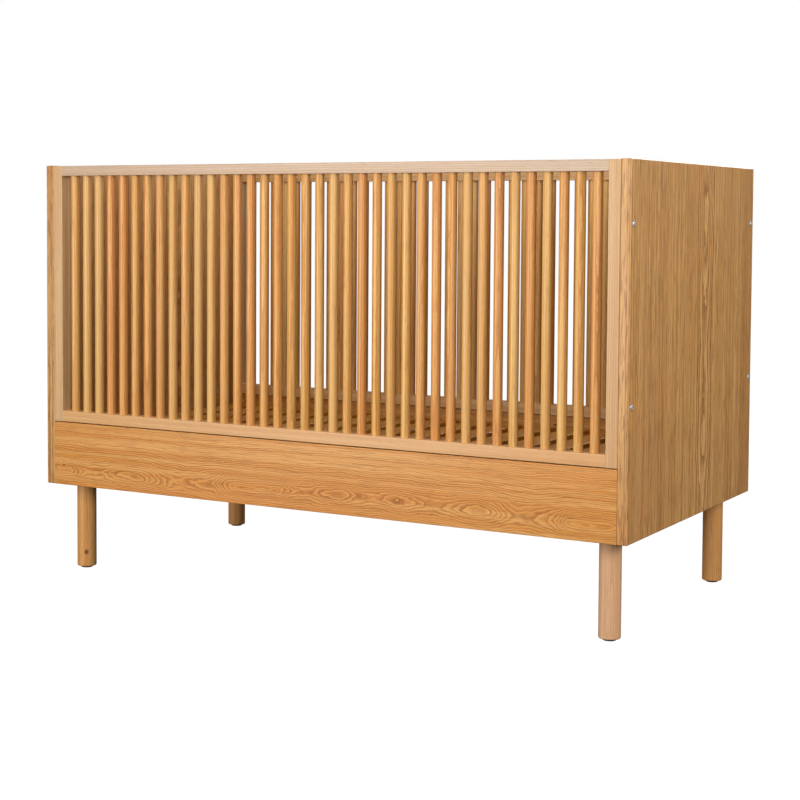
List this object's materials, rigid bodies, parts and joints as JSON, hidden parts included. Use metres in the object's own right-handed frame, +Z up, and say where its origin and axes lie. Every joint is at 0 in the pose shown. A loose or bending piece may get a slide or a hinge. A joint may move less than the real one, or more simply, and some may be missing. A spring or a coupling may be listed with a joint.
{
  "type": "baby crib",
  "caption": "Wooden baby crib with barred long sides, full-depth solid end panels, round legs and a slatted mattress base that sets at two heights.",
  "frame": {"origin": "on the floor, under the middle of the crib", "axes": "+X along the length towards the right end, -Y the front side, +Z up"},
  "size_m": [1.446, 0.76, 0.946],
  "materials": {
    "panel_wood": "oiled",
    "board_wood": "oiled",
    "frame_wood": "oiled",
    "bar_wood": "oiled",
    "leg_wood": "oiled",
    "base_wood": "sanded",
    "slat_wood": "sanded",
    "inner_wood": "sanded",
    "zinc_steel": "zinc plated",
    "glide_plastic": "matte"
  },
  "bodies": {
    "crib_frame": {"end_panel_left": "panel_wood", "end_panel_right": "panel_wood", "front_lower_board": "board_wood", "front_top_rail": "frame_wood", "front_bottom_rail": "frame_wood", "front_bars": "bar_wood", "front_stile_left": "frame_wood", "leg_front_left": "leg_wood", "leg_block_front_left": "inner_wood", "glide_front_left": "glide_plastic", "front_stile_right": "frame_wood", "leg_front_right": "leg_wood", "leg_block_front_right": "inner_wood", "glide_front_right": "glide_plastic", "rear_lower_board": "board_wood", "rear_top_rail": "frame_wood", "rear_bottom_rail": "frame_wood", "rear_bars": "bar_wood", "rear_stile_left": "frame_wood", "leg_rear_left": "leg_wood", "leg_block_rear_left": "inner_wood", "glide_rear_left": "glide_plastic", "rear_stile_right": "frame_wood", "leg_rear_right": "leg_wood", "leg_block_rear_right": "inner_wood", "glide_rear_right": "glide_plastic", "frame_corner_dowels": "inner_wood", "board_dowels": "inner_wood", "leg_block_dowels": "inner_wood", "side_bolts": "zinc_steel", "side_bolt_inserts": "zinc_steel", "leg_hanger_bolts": "zinc_steel", "leg_inserts": "zinc_steel", "base_brackets": "zinc_steel", "base_bracket_bolts": "zinc_steel", "base_inserts_low": "zinc_steel", "base_inserts_high": "zinc_steel"},
    "mattress_base": {"base_end_rail_left": "base_wood", "base_end_rail_right": "base_wood", "base_side_rail_front": "base_wood", "base_side_rail_rear": "base_wood", "base_slat_screws": "zinc_steel", "base_frame_screws": "zinc_steel", "base_slat_01": "slat_wood", "base_slat_02": "slat_wood", "base_slat_03": "slat_wood", "base_slat_04": "slat_wood", "base_slat_05": "slat_wood", "base_slat_06": "slat_wood", "base_slat_07": "slat_wood", "base_slat_08": "slat_wood", "base_slat_09": "slat_wood", "base_slat_10": "slat_wood", "base_slat_11": "slat_wood", "base_slat_12": "slat_wood", "base_slat_13": "slat_wood", "base_slat_14": "slat_wood", "base_slat_15": "slat_wood", "base_slat_16": "slat_wood"}
  },
  "joints": [
    {"name": "base_height_slide", "type": "slide", "parent": "crib_frame", "child": "mattress_base", "axis": [0, 0, 1], "range_m": [0, 0.116]}
  ]
}
